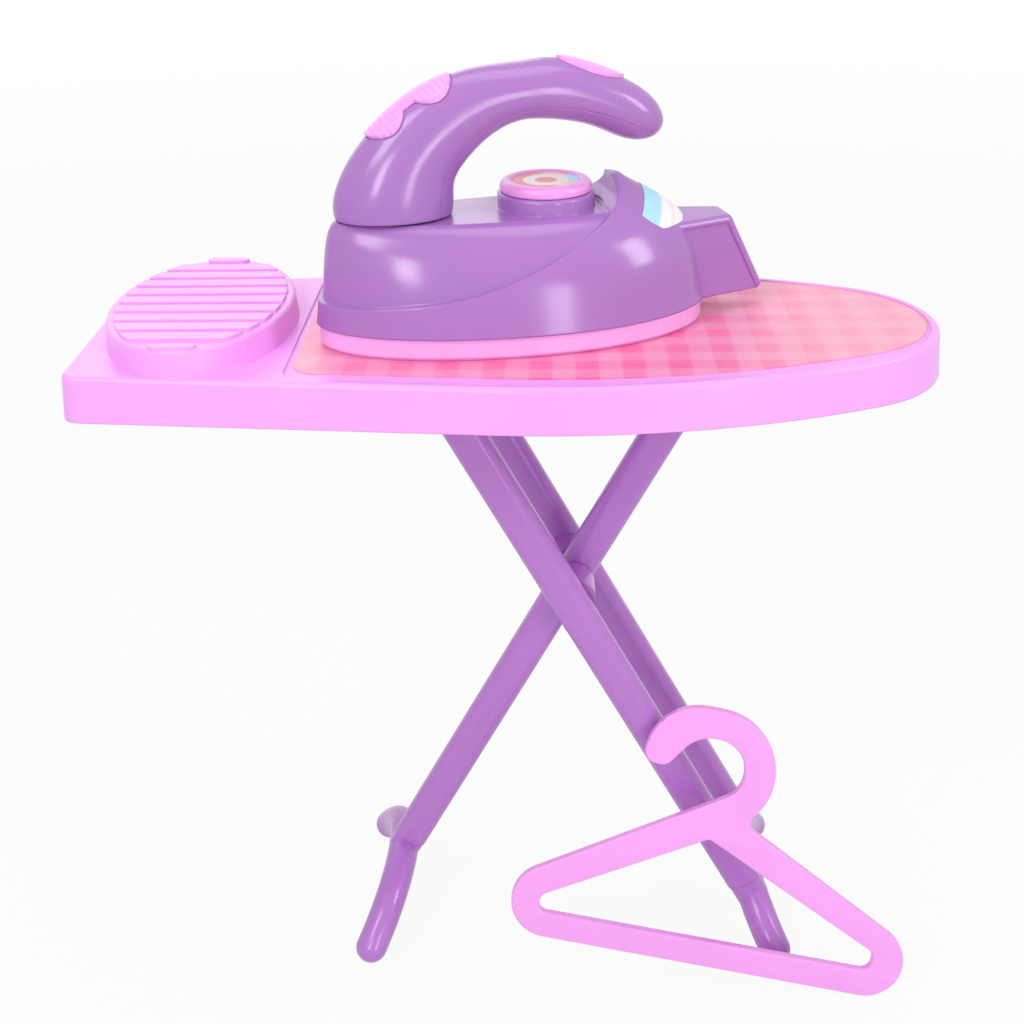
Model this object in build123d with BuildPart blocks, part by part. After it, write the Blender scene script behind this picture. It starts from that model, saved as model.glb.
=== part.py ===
from build123d import *
from math import asin, atan, atan2, cos, degrees, pi, radians, sin, sqrt, tan
import os

os.makedirs("parts", exist_ok=True)

# Toy ironing board with its toy iron and its clothes hanger.
# Millimetres. +X runs to the board's rounded nose, +Z is up, the origin is on
# the floor under the middle of the board.

# Fits and small clearances
touch_gap = 0.1
press_gap = 0.05
running_gap = 0.08
free_gap = 0.4
cut_over = 5.0
half_turn = 180.0

# Board moulding
board_length = 383.0
board_height = 328.0
board_end_width = 133.4
side_slope_share = 0.089
side_radius = 333.0
nose_radius = 59.0
end_corner_radius = 9.0
skirt_depth = 20.0
skirt_flare = 1.6
board_wall = 2.4
board_plate = 3.8
rim_round = 2.2
rim_width = 3.9
recess_depth = 1.0
recess_corner_radius = 12.0
recess_end_distance = 95.5
cover_thickness = 0.5
cover_gap = 0.4
cover_shift = 4.35
cover_start_gap = 2.5

# Iron rest moulded on the square end
rest_end_distance = 50.4
rest_length = 81.2
rest_width = 133.0
rest_height = 11.4
rest_foot_spread = 1.6
rest_edge_round = 1.6
rest_rib_width = 8.6
rest_rib_pitch = 12.4
rest_rib_height = 1.3
rest_rib_inset = 3.5
rest_rib_count = 9
rest_tab_length = 20.0
rest_tab_width = 5.4

# Underside
hinge_drop = 14.0
underside_rib_depth = 3.0
underside_rib_width = 1.8
underside_rib_pitch = 46.0
underside_rib_count = 7
leg_bay_margin = 3.2
lug_thickness = 7.0
lug_wall = 3.2
lug_offset = 14.0
rail_thickness = 2.6
rail_lip = 5.5
rail_lip_height = 1.6
rail_front_reach = 11.2
rail_end_distance = 9.0
stop_length = 3.0
stop_height = 1.6

# Leg frames
leg_angle = 28.6
crossing_x = 26.0
crossing_height_share = 0.6037
bar_width = 17.6
bar_thickness = 13.0
bar_round = 5.8
bar_spacing = 60.0
bar_socket_depth = 22.0
bar_socket_wall = 2.6
top_rod_radius = 4.0
outer_rod_length = 90.0
centre_rod_length = 44.0
pivot_pin_radius = 3.5
pivot_head_radius = 6.5
pivot_head_height = 2.2
pivot_blind_wall = 3.0
spacer_radius = 11.0

# Arched feet
foot_tube_radius = 8.0
foot_half_span = 51.0
foot_arch_rise = 28.1
foot_flat = 0.6
foot_neck_inset = 0.5
spigot_length = 16.0

# Iron placed on the board
iron_x = 10.0
iron_y = 0.5
iron_turn = 15.0
sole_nose_reach = 98.0
sole_heel_reach = 76.5
sole_half_width = 44.0
sole_thickness = 9.6
sole_round = 1.6
shell_step = 2.6
body_wall = 2.6
plateau_height = 54.0
dome_height = 66.8
dome_top_round = 3.5
dial_x = 4.5
dial_bay_length = 50.0
dial_bay_width = 62.0
dial_boss_radius = 21.3
dial_boss_top = 61.0
dial_radius = 20.2
dial_height = 4.8
dial_recess_radius = 14.8
dial_recess_depth = 1.2
dial_print_thickness = 0.5
dial_spindle_radius = 4.0
dial_clip_radius = 7.0
dial_clip_thickness = 1.2
dial_edge_round = 1.4
boss_edge_round = 1.5
handle_wall = 2.4
handle_root_x = -63.0
handle_tongue_length = 36.0
handle_tongue_width = 20.0
handle_tongue_depth = 9.0
handle_seat_gap = 0.9
handle_foot_depth = 24.0
handle_foot_width = 16.3
handle_reach = 143.0
handle_rise = 61.0
handle_front_x = -88.3
grip_half_depth = 12.1
grip_half_width = 13.2
button_gap = 0.3
button_reach = 12.0
front_button_x = -55.5
front_button_z = 101.5
front_button_lean = 36.0
rear_button_x = 24.5
rear_button_z = 113.0
rear_button_lean = 15.0
button_proud = 1.2
button_flange = 1.1
button_lobe_radius = 10.5
button_lobe_spacing = 22.0
button_waist_width = 13.0
rear_button_length = 31.0
rear_button_width = 15.0
label_thickness = 0.35
label_x = 48.0
label_half_length = 18.5
label_half_width = 22.5
label_inner_radius = 43.0
heel_root_x = 52.0
heel_top_x = 88.0
heel_foot_x = 108.0
heel_top_height = 45.5
heel_foot_height = 8.3
heel_root_half_width = 19.0
heel_end_half_width = 3.9
heel_edge_round = 2.6
heel_panel_border = 3.2
heel_panel_depth = 0.7
screw_radius = 1.6
screw_head_radius = 3.2
screw_head_height = 1.8
screw_head_sink = 0.6
screw_length = 11.0
screw_cross_width = 0.9
screw_boss_radius = 4.2
screw_nose_x = -33.0
screw_heel_x = 34.0
screw_heel_y = 16.0

# Hanger leaning on the near bar of the outer leg frame
hanger_width = 194.6
hanger_thickness = 5.0
hanger_base_band = 12.0
hanger_arm_band = 14.0
hanger_arm_angle = 30.5
hanger_corner_radius = 17.0
hanger_inner_radius = 4.5
hanger_hook_radius = 24.0
hanger_hook_band = 15.5
hanger_hook_height = 101.3
hanger_hook_offset = -15.4
hanger_hook_open_angle = 175.0
hanger_hook_sweep = 250.0
hanger_turn = 11.2
hanger_lean = 14.0
hanger_foot_y = -75.6
hanger_middle_x = 89.0
hanger_line_inset = 2.6
hanger_line_width = 0.8
hanger_line_depth = 0.4


# Board

plate_underside = board_height - board_plate
skirt_bottom = board_height - skirt_depth
hinge_height = board_height - hinge_drop
end_half_width = board_end_width / 2

# The long side is a straight run, then a wide arc, then the nose arc. The wide
# arc's centre is where it is tangent to both neighbours.
side_angle = atan(side_slope_share)
side_run = Vector(cos(side_angle), sin(side_angle))
side_out = Vector(-sin(side_angle), cos(side_angle))
end_corner = Vector(-board_length / 2, end_half_width)
nose_centre = Vector(board_length / 2 - nose_radius, 0)
reach = end_corner - side_out * side_radius - nose_centre
along = reach.dot(side_run)
run_length = -along - sqrt(along**2 - reach.dot(reach) + (side_radius - nose_radius) ** 2)
if run_length < 0:
    run_length = -along + sqrt(along**2 - reach.dot(reach) + (side_radius - nose_radius) ** 2)
side_centre = end_corner + side_run * run_length - side_out * side_radius
joint_angle = degrees(atan2(nose_centre.Y - side_centre.Y, nose_centre.X - side_centre.X))
side_start_angle = degrees(side_angle) + 90

with BuildSketch() as board_outline:
    with BuildLine():
        Line((end_corner.X, 0), (end_corner.X, end_corner.Y))
        Line((end_corner.X, end_corner.Y), end_corner + side_run * run_length)
        CenterArc(side_centre, side_radius, joint_angle, side_start_angle - joint_angle)
        CenterArc(nose_centre, nose_radius, 0, joint_angle)
        mirror(about=Plane.XZ)
    make_face()
    fillet(board_outline.vertices().group_by(Axis.X)[0], end_corner_radius)

recess_start_x = recess_end_distance - board_length / 2
with BuildSketch() as recess_outline:
    add(board_outline.sketch)
    offset(amount=-skirt_flare - rim_width)
    with Locations((recess_start_x, 0)):
        Rectangle(board_length, 2 * board_end_width, align=(Align.MIN, Align.CENTER), mode=Mode.INTERSECT)
    fillet(recess_outline.vertices().group_by(Axis.X)[0], recess_corner_radius)

# The printed cover lies a little off the middle, towards the nose and the far
# side, so a strip of bare moulding shows along the near side.
cover_inset = skirt_flare + rim_width + cover_shift + cover_gap
with BuildSketch() as cover_field:
    with Locations((cover_shift, cover_shift)):
        add(board_outline.sketch)
    offset(amount=-cover_inset)
    with Locations((recess_start_x + cover_start_gap, 0)):
        Rectangle(board_length, 2 * board_end_width, align=(Align.MIN, Align.CENTER), mode=Mode.INTERSECT)
    fillet(cover_field.vertices().group_by(Axis.X)[0], recess_corner_radius)

rest_centre_x = rest_end_distance - board_length / 2
rest_half_length = rest_length / 2
rest_half_width = rest_width / 2
rest_top = board_height + rest_height

# The hollow under the board: below the plate inside the skirt, and up inside
# the iron rest.
with BuildPart() as board_hollow:
    with BuildSketch(Plane.XY.offset(skirt_bottom)):
        add(board_outline.sketch)
        offset(amount=-board_wall)
    with BuildSketch(Plane.XY.offset(plate_underside)):
        add(board_outline.sketch)
        offset(amount=-board_wall - skirt_flare * (skirt_depth - board_plate) / skirt_depth)
    loft(ruled=True)
    with BuildSketch(Plane.XY.offset(plate_underside - board_wall)):
        with Locations((rest_centre_x, 0)):
            Ellipse(rest_half_length + rest_foot_spread - board_wall, rest_half_width + rest_foot_spread - board_wall)
    with BuildSketch(Plane.XY.offset(rest_top - board_wall)):
        with Locations((rest_centre_x, 0)):
            Ellipse(rest_half_length - board_wall, rest_half_width - board_wall)
    loft()

crossing_height = board_height * crossing_height_share
rail_inner_y = outer_rod_length / 2 + free_gap
lip_top = hinge_height - top_rod_radius - free_gap
centre_top_x = crossing_x + (hinge_height - crossing_height) * tan(radians(leg_angle))
outer_top_x = crossing_x - (hinge_height - crossing_height) * tan(radians(leg_angle))

rail_front_x = outer_top_x + rail_front_reach
rail_back_x = rail_end_distance - board_length / 2
rail_length = rail_front_x - rail_back_x
leg_bay_front_x = centre_top_x + bar_width / 2 + leg_bay_margin
leg_bay_length = leg_bay_front_x - rail_back_x

# Everything that hangs inside the hollow: stiffening ribs round the bay that
# the legs fold into, the two snap lugs of the fixed hinge and the two rails in
# which the other frame's rod slides.
with BuildPart() as underside_frame:
    with BuildSketch(Plane.XY.offset(plate_underside - underside_rib_depth)):
        with GridLocations(underside_rib_pitch, underside_rib_pitch, underside_rib_count, 1):
            Rectangle(underside_rib_width, board_length)
        with GridLocations(underside_rib_pitch, 2 * rail_inner_y + rail_thickness, 1, 2):
            Rectangle(board_length, underside_rib_width)
        with Locations((rail_back_x + leg_bay_length / 2, 0)):
            Rectangle(leg_bay_length, 2 * rail_inner_y, mode=Mode.SUBTRACT)
        with Locations((rest_centre_x, 0)):
            Ellipse(rest_half_length + rest_foot_spread, rest_half_width + rest_foot_spread, mode=Mode.SUBTRACT)
    extrude(amount=underside_rib_depth + board_plate)
    with BuildSketch(Plane.XZ.offset(lug_offset - lug_thickness / 2)):
        with Locations((centre_top_x, hinge_height)):
            Circle(top_rod_radius + lug_wall)
        with Locations((centre_top_x, hinge_height + hinge_drop)):
            Rectangle(2 * (top_rod_radius + lug_wall), 2 * hinge_drop)
    extrude(amount=lug_thickness)
    with BuildSketch(Plane.XZ.offset(-lug_offset - lug_thickness / 2)):
        with Locations((centre_top_x, hinge_height)):
            Circle(top_rod_radius + lug_wall)
        with Locations((centre_top_x, hinge_height + hinge_drop)):
            Rectangle(2 * (top_rod_radius + lug_wall), 2 * hinge_drop)
    extrude(amount=lug_thickness)
    for side in (-1, 1):
        with BuildSketch(Plane.XY.offset(lip_top - rail_lip_height)):
            with Locations((rail_front_x - rail_length / 2, side * (rail_inner_y + rail_thickness / 2))):
                Rectangle(rail_length, rail_thickness)
        extrude(amount=rest_height + hinge_drop + board_plate)
        with BuildSketch(Plane.XY.offset(lip_top - rail_lip_height)):
            with Locations((rail_front_x - rail_length / 2, side * (rail_inner_y - rail_lip / 2))):
                Rectangle(rail_length, rail_lip)
        extrude(amount=rail_lip_height)
        with BuildSketch(Plane.XY.offset(lip_top)):
            stop_x = outer_top_x + top_rod_radius + free_gap + stop_length / 2
            with Locations((stop_x, side * (rail_inner_y - rail_lip / 2))):
                Rectangle(stop_length, rail_lip)
        extrude(amount=stop_height)
    add(board_hollow.part, mode=Mode.INTERSECT)
    with BuildSketch(Plane.XZ):
        with Locations((centre_top_x, hinge_height)):
            Circle(top_rod_radius + running_gap)
        with Locations((centre_top_x, hinge_height - hinge_drop / 2)):
            Rectangle(2 * top_rod_radius - 4 * free_gap, hinge_drop)
    extrude(amount=lug_offset + lug_thickness, both=True, mode=Mode.SUBTRACT)

with BuildPart() as board_top:
    with BuildSketch(Plane.XY.offset(skirt_bottom)):
        add(board_outline.sketch)
    with BuildSketch(Plane.XY.offset(board_height)):
        add(board_outline.sketch)
        offset(amount=-skirt_flare)
    loft(ruled=True)
    fillet(board_top.faces().sort_by(Axis.Z)[-1].outer_wire().edges(), rim_round)
    with BuildSketch(Plane.XY.offset(plate_underside)):
        with Locations((rest_centre_x, 0)):
            Ellipse(rest_half_length + rest_foot_spread, rest_half_width + rest_foot_spread)
    with BuildSketch(Plane.XY.offset(rest_top)):
        with Locations((rest_centre_x, 0)):
            Ellipse(rest_half_length, rest_half_width)
    loft()
    fillet(board_top.faces().sort_by(Axis.Z)[-1].outer_wire().edges(), rest_edge_round)
    add(board_hollow.part, mode=Mode.SUBTRACT)
    add(underside_frame.part)
    with BuildSketch(Plane.XY.offset(rest_top)):
        with Locations((rest_centre_x, 0)):
            with GridLocations(0, rest_rib_pitch, 1, rest_rib_count):
                SlotOverall(rest_length, rest_rib_width)
            Ellipse(rest_half_length - rest_rib_inset, rest_half_width - rest_rib_inset / 2, mode=Mode.INTERSECT)
            with GridLocations(0, rest_rib_pitch * (rest_rib_count + 1), 1, 2):
                SlotOverall(rest_tab_length, rest_tab_width)
    extrude(amount=rest_rib_height)
    with BuildSketch(Plane.XY.offset(board_height)):
        add(recess_outline.sketch)
    extrude(amount=-recess_depth, mode=Mode.SUBTRACT)
board_top.part.label = "board_top"
export_step(board_top.part, "parts/board_top.step")

cover_underside = board_height - recess_depth
with BuildPart() as board_cover:
    with BuildSketch(Plane.XY.offset(cover_underside)):
        add(recess_outline.sketch)
        offset(amount=-cover_gap)
        add(cover_field.sketch, mode=Mode.INTERSECT)
    extrude(amount=cover_thickness)
board_cover.part.label = "board_cover"
export_step(board_cover.part, "parts/board_cover.step")


# Leg frames

upper_length = (hinge_height - crossing_height) / cos(radians(leg_angle))
foot_tip_height = foot_tube_radius - foot_flat
tip_from_crossing = (crossing_height - foot_tip_height) / cos(radians(leg_angle))
foot_crown_from_crossing = tip_from_crossing - foot_arch_rise
foot_arc_radius = (foot_half_span**2 + foot_arch_rise**2) / (2 * foot_arch_rise)
foot_arc_half = degrees(asin(foot_half_span / foot_arc_radius))
crossing = Vector(crossing_x, 0, crossing_height)
bar_half_spacing = bar_spacing / 2

# The bars end just above the foot's tube. The outer bars meet it further down,
# where the arch has already dropped.
arch_outer_radius = foot_arc_radius + foot_tube_radius
arch_drop = arch_outer_radius - sqrt(arch_outer_radius**2 - (bar_half_spacing - bar_thickness / 2) ** 2)
centre_bar_lower_length = foot_crown_from_crossing - foot_tube_radius - free_gap
outer_bar_lower_length = centre_bar_lower_length + arch_drop


def down_leg(lean):
    # Unit vector down a leg that leans to +X (lean 1) or to -X (lean -1).
    return Vector(lean * sin(radians(leg_angle)), 0, -cos(radians(leg_angle)))


def leg_section(lean, distance, side_y=0.0):
    # Plane square to the leg at a distance below the crossing: its x axis is
    # across the leg, its y axis is along Y or against it.
    spot = crossing + down_leg(lean) * distance + Vector(0, side_y, 0)
    return Plane(origin=spot, x_dir=Vector(0, 1, 0), z_dir=down_leg(lean))


def leg_side(lean, side_y):
    # Plane parallel to XZ at the crossing, x axis down the leg.
    return Plane(origin=crossing + Vector(0, side_y, 0), x_dir=down_leg(lean), z_dir=Vector(0, -1, 0))


def make_bar(lean, side_y, lower_length, pin_bore, pin_bore_depth):
    # A rounded bar with a round eye at the top rod, a bore at the crossing and a
    # socket for the foot's spigot in its lower end. The pin's bore starts at
    # the far side and goes right through where its depth allows.
    with BuildPart() as bar:
        with BuildSketch(leg_section(lean, -upper_length, side_y)):
            RectangleRounded(bar_thickness, bar_width, bar_round)
        extrude(amount=upper_length + lower_length)
        with BuildSketch(leg_side(lean, side_y)):
            with Locations((-upper_length, 0)):
                Circle(bar_width / 2)
        extrude(amount=bar_thickness / 2, both=True)
        with BuildSketch(leg_section(lean, lower_length - bar_socket_depth, side_y)):
            RectangleRounded(bar_thickness - 2 * bar_socket_wall, bar_width - 2 * bar_socket_wall, bar_round - bar_socket_wall)
        extrude(amount=bar_socket_depth, mode=Mode.SUBTRACT)
        with BuildSketch(leg_side(lean, side_y)):
            with Locations((-upper_length, 0)):
                Circle(top_rod_radius + press_gap)
        extrude(amount=bar_thickness, both=True, mode=Mode.SUBTRACT)
        with BuildSketch(leg_side(lean, side_y + bar_thickness)):
            Circle(pin_bore)
        extrude(amount=pin_bore_depth, mode=Mode.SUBTRACT)
    return bar.part


def make_foot(lean, bar_sides, lower_length):
    # A tube bent to an arc in the plane of the leg frame, with round ends, a
    # neck under each bar and a spigot in each bar's socket.
    crown = crossing + down_leg(lean) * foot_crown_from_crossing
    arch_plane = Plane(origin=crown, x_dir=Vector(0, 1, 0), z_dir=Vector(0, 1, 0).cross(down_leg(lean)))
    with BuildPart() as foot:
        with BuildLine(arch_plane) as arch:
            CenterArc((0, foot_arc_radius), foot_arc_radius, -90 - foot_arc_half, 2 * foot_arc_half)
        with BuildSketch(Plane(origin=arch.line @ 0, z_dir=arch.line % 0)):
            Circle(foot_tube_radius)
        sweep()
        with Locations(arch.line @ 0, arch.line @ 1):
            Sphere(foot_tube_radius)
        for side_y in bar_sides:
            drop = foot_arc_radius - sqrt(foot_arc_radius**2 - side_y**2)
            neck_length = foot_crown_from_crossing + drop - lower_length
            with BuildSketch(leg_section(lean, lower_length, side_y)):
                RectangleRounded(
                    bar_thickness - 2 * foot_neck_inset, bar_width - 2 * foot_neck_inset, bar_round - foot_neck_inset
                )
            extrude(amount=neck_length)
            with BuildSketch(leg_section(lean, lower_length, side_y)):
                RectangleRounded(
                    bar_thickness - 2 * (bar_socket_wall + touch_gap),
                    bar_width - 2 * (bar_socket_wall + touch_gap),
                    bar_round - bar_socket_wall - touch_gap,
                )
            extrude(amount=-spigot_length)
        with BuildSketch(Plane.XY):
            Rectangle(2 * board_length, 2 * board_length)
        extrude(amount=-2 * foot_tube_radius, mode=Mode.SUBTRACT)
    return foot.part


through_depth = 2 * bar_thickness
blind_depth = 3 / 2 * bar_thickness - pivot_blind_wall
for bar_name, bar_y, bore_depth in (
    ("outer_bar_near", -bar_half_spacing, blind_depth),
    ("outer_bar_far", bar_half_spacing, through_depth),
):
    outer_bar = make_bar(1, bar_y, outer_bar_lower_length, pivot_pin_radius + press_gap, bore_depth)
    outer_bar.label = bar_name
    export_step(outer_bar, f"parts/{bar_name}.step")

centre_bar = make_bar(-1, 0, centre_bar_lower_length, pivot_pin_radius + running_gap, through_depth)
centre_bar.label = "centre_bar"
export_step(centre_bar, "parts/centre_bar.step")

outer_foot = make_foot(1, (-bar_half_spacing, bar_half_spacing), outer_bar_lower_length)
outer_foot.label = "outer_foot"
export_step(outer_foot, "parts/outer_foot.step")

centre_foot = make_foot(-1, (0.0,), centre_bar_lower_length)
centre_foot.label = "centre_foot"
export_step(centre_foot, "parts/centre_foot.step")


def make_rod(x, length):
    # A straight rod along Y at hinge height, with small round ends.
    with BuildPart() as rod:
        with BuildSketch(Plane.XZ):
            with Locations((x, hinge_height)):
                Circle(top_rod_radius)
        extrude(amount=length / 2, both=True)
        chamfer(rod.edges().filter_by(GeomType.CIRCLE), top_rod_radius / 5)
    return rod.part


outer_top_rod = make_rod(outer_top_x, outer_rod_length)
outer_top_rod.label = "outer_top_rod"
export_step(outer_top_rod, "parts/outer_top_rod.step")
centre_top_rod = make_rod(centre_top_x, centre_rod_length)
centre_top_rod.label = "centre_top_rod"
export_step(centre_top_rod, "parts/centre_top_rod.step")

outer_face_y = bar_half_spacing + bar_thickness / 2
inner_face_y = bar_half_spacing - bar_thickness / 2
centre_face_y = bar_thickness / 2
pin_start_y = pivot_blind_wall + free_gap - bar_half_spacing - bar_thickness / 2

# The pin goes in from the far side and ends blind in the near bar, which shows
# a smooth face.
with BuildPart() as pivot_pin:
    with BuildSketch(leg_side(1, outer_face_y)):
        Circle(pivot_pin_radius)
    extrude(amount=outer_face_y - pin_start_y)
    with BuildSketch(leg_side(1, outer_face_y + pivot_head_height)):
        Circle(pivot_head_radius)
    extrude(amount=pivot_head_height)
    fillet(pivot_pin.edges().filter_by(GeomType.CIRCLE).sort_by(Axis.Y)[-1:], pivot_head_height * 2 / 3)
pivot_pin.part.label = "pivot_pin"
export_step(pivot_pin.part, "parts/pivot_pin.step")

spacer_length = inner_face_y - centre_face_y - free_gap
for spacer_name, start_y in (
    ("pivot_spacer_near", -centre_face_y - free_gap),
    ("pivot_spacer_far", inner_face_y),
):
    with BuildPart() as pivot_spacer:
        with BuildSketch(leg_side(1, start_y)):
            Circle(spacer_radius)
            Circle(pivot_pin_radius + press_gap, mode=Mode.SUBTRACT)
        extrude(amount=spacer_length)
    pivot_spacer.part.label = spacer_name
    export_step(pivot_spacer.part, f"parts/{spacer_name}.step")


# Iron

iron_floor = board_height - recess_depth + cover_thickness + touch_gap
iron_plane = Plane(
    origin=(iron_x, iron_y, iron_floor),
    x_dir=(cos(radians(iron_turn)), sin(radians(iron_turn)), 0),
    z_dir=(0, 0, 1),
)
iron_side = Plane(origin=iron_plane.origin, x_dir=iron_plane.x_dir, z_dir=-iron_plane.y_dir)


def iron_point(x, y, z):
    return iron_plane.from_local_coords(Vector(x, y, z))


def egg(height, nose_reach, heel_reach, half_width):
    # Egg-shaped outline: two half ellipses that share their width.
    with BuildSketch(iron_plane.offset(height)) as outline:
        with BuildLine():
            EllipticalCenterArc((0, 0), nose_reach, half_width, start_angle=half_turn / 2, arc_size=half_turn)
            EllipticalCenterArc((0, 0), heel_reach, half_width, start_angle=-half_turn / 2, arc_size=half_turn)
        make_face()
    return outline.sketch


# Height, nose reach, heel reach and half width of the outer shell's and the
# plateau's sections, as shares of the dome's height and the sole's sizes.
outer_shell_shares = (
    (0.147, 1.013, 1.02, 1.03),
    (0.427, 0.99, 0.97, 0.95),
    (0.698, 0.94, 0.87, 0.76),
    (0.868, 0.84, 0.68, 0.50),
    (1.0, 0.70, 0.49, 0.28),
)
plateau_shares = (
    (0.181, 1.013, 1.02, 1.03),
    (0.46, 1.0, 0.98, 0.965),
    (0.72, 0.985, 0.93, 0.88),
    (0.90, 0.965, 0.85, 0.75),
    (1.0, 0.93, 0.74, 0.57),
)
# The raised step that sweeps up the iron's side: places as shares of the
# sole's nose reach and of the dome's height.
swoosh_shares = (
    (-1.12, 0.291),
    (-0.806, 0.326),
    (-0.561, 0.364),
    (-0.337, 0.424),
    (-0.133, 0.523),
    (0.031, 0.621),
    (0.184, 0.735),
    (0.292, 0.825),
    (0.337, 0.905),
    (0.340, 0.975),
    (0.318, 1.040),
    (0.300, 1.080),
)


def shell_form(shares, height, inset):
    # Loft through the egg sections, each drawn in by the inset.
    with BuildPart() as form:
        for up, nose, heel, half in shares:
            add(
                egg(
                    height * up,
                    sole_nose_reach * nose - inset,
                    sole_heel_reach * heel - inset,
                    sole_half_width * half - inset,
                )
            )
        loft()
    return form.part


screw_spots = ((screw_nose_x, 0), (screw_heel_x, screw_heel_y), (screw_heel_x, -screw_heel_y))
with BuildPart() as iron_sole:
    add(egg(0, sole_nose_reach - sole_round, sole_heel_reach - sole_round, sole_half_width - sole_round))
    add(egg(sole_round, sole_nose_reach, sole_heel_reach, sole_half_width))
    add(egg(sole_thickness, sole_nose_reach, sole_heel_reach, sole_half_width))
    loft(ruled=True)
    add(
        egg(
            sole_thickness / 2,
            sole_nose_reach - body_wall,
            sole_heel_reach - body_wall,
            sole_half_width - body_wall,
        )
    )
    extrude(amount=sole_thickness, mode=Mode.SUBTRACT)
    with BuildSketch(iron_plane):
        with Locations(*screw_spots):
            Circle(screw_head_radius + free_gap)
    extrude(amount=screw_head_sink + screw_head_height, mode=Mode.SUBTRACT)
    with BuildSketch(iron_plane):
        with Locations(*screw_spots):
            Circle(screw_radius + press_gap)
    extrude(amount=sole_thickness, mode=Mode.SUBTRACT)
iron_sole.part.label = "iron_sole"
export_step(iron_sole.part, "parts/iron_sole.step")

with BuildPart() as heel:
    with BuildSketch(iron_side):
        with BuildLine():
            Polyline(
                (heel_root_x, heel_foot_height),
                (heel_foot_x, heel_foot_height),
                (heel_top_x, heel_top_height),
                (heel_root_x, heel_top_height),
                close=True,
            )
        make_face()
    extrude(amount=heel_root_half_width, both=True)
    with BuildSketch(iron_plane):
        with BuildLine():
            Polyline(
                (heel_root_x, -heel_root_half_width),
                (heel_foot_x, -heel_end_half_width),
                (heel_foot_x, heel_end_half_width),
                (heel_root_x, heel_root_half_width),
                close=True,
            )
        make_face()
    extrude(amount=heel_top_height + heel_foot_height, mode=Mode.INTERSECT)
    heel_edges = heel.edges().filter_by(lambda e: iron_plane.to_local_coords(e.center()).X > heel_root_x + cut_over)
    fillet(heel_edges, heel_edge_round)
    top_share = (heel_top_x - heel_root_x) / (heel_foot_x - heel_root_x)
    for side in (-1, 1):
        root = iron_point(heel_root_x, side * heel_root_half_width, 0)
        run = iron_point(heel_foot_x, side * heel_end_half_width, 0) - root
        slant = run.length * (1 - top_share) / (heel_top_height - heel_foot_height)
        with BuildSketch(Plane(origin=root, x_dir=run, z_dir=run.cross(Vector(0, 0, -side)))):
            with BuildLine():
                Polyline(
                    (-cut_over, side * (cut_over - heel_foot_height)),
                    (run.length + slant * cut_over, side * (cut_over - heel_foot_height)),
                    (run.length * top_share, -side * heel_top_height),
                    (-cut_over, -side * heel_top_height),
                    close=True,
                )
            make_face()
            offset(amount=-heel_panel_border)
        extrude(amount=-heel_panel_depth, mode=Mode.SUBTRACT)

with BuildPart() as iron_body:
    add(shell_form(outer_shell_shares, dome_height, 0))
    fillet(iron_body.faces().sort_by(Axis.Z)[-1].edges(), dome_top_round)
    with BuildSketch(iron_side):
        with BuildLine():
            sweep_line = Spline([(sole_nose_reach * x, dome_height * z) for x, z in swoosh_shares])
            Polyline(
                sweep_line @ 1,
                ((sweep_line @ 1).X, 2 * dome_height),
                ((sweep_line @ 0).X, 2 * dome_height),
                sweep_line @ 0,
            )
        make_face()
    extrude(amount=2 * sole_half_width, both=True, mode=Mode.SUBTRACT)
    with BuildSketch(iron_plane.offset(plateau_height)):
        with Locations((dial_x, 0)):
            Ellipse(dial_bay_length / 2, dial_bay_width / 2)
    extrude(amount=dome_height, mode=Mode.SUBTRACT)
    add(shell_form(plateau_shares, plateau_height, shell_step))
    add(heel.part)
    with BuildSketch(iron_plane.offset(plateau_height - body_wall)):
        with Locations((dial_x, 0)):
            Circle(dial_boss_radius)
    extrude(amount=dial_boss_top - plateau_height + body_wall)
    boss_rim = iron_body.edges().filter_by(GeomType.CIRCLE)
    boss_rim = boss_rim.filter_by(lambda e: abs(e.radius - dial_boss_radius) < press_gap).sort_by(Axis.Z)[-1:]
    fillet(boss_rim, boss_edge_round)
    add(shell_form(plateau_shares, plateau_height - body_wall, shell_step + body_wall), mode=Mode.SUBTRACT)
    add(egg(0, sole_nose_reach + free_gap, sole_heel_reach + free_gap, sole_half_width + free_gap))
    extrude(amount=sole_thickness + touch_gap, mode=Mode.SUBTRACT)
    with BuildSketch(iron_plane.offset(plateau_height)):
        with Locations((dial_x, 0)):
            Circle(dial_spindle_radius + running_gap)
        with Locations((handle_root_x, 0)):
            Ellipse(handle_tongue_length / 2 + press_gap, handle_tongue_width / 2 + press_gap)
    extrude(amount=dome_height, both=True, mode=Mode.SUBTRACT)
    boss_bottom = sole_thickness / 2 + touch_gap
    with BuildSketch(iron_plane.offset(boss_bottom)):
        with Locations(*screw_spots):
            Circle(screw_boss_radius)
    extrude(amount=plateau_height - body_wall / 2 - boss_bottom)
    with BuildSketch(iron_plane.offset(boss_bottom)):
        with Locations(*screw_spots):
            Circle(screw_radius + press_gap)
    extrude(amount=screw_length, mode=Mode.SUBTRACT)
iron_body.part.label = "iron_body"
export_step(iron_body.part, "parts/iron_body.step")

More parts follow.
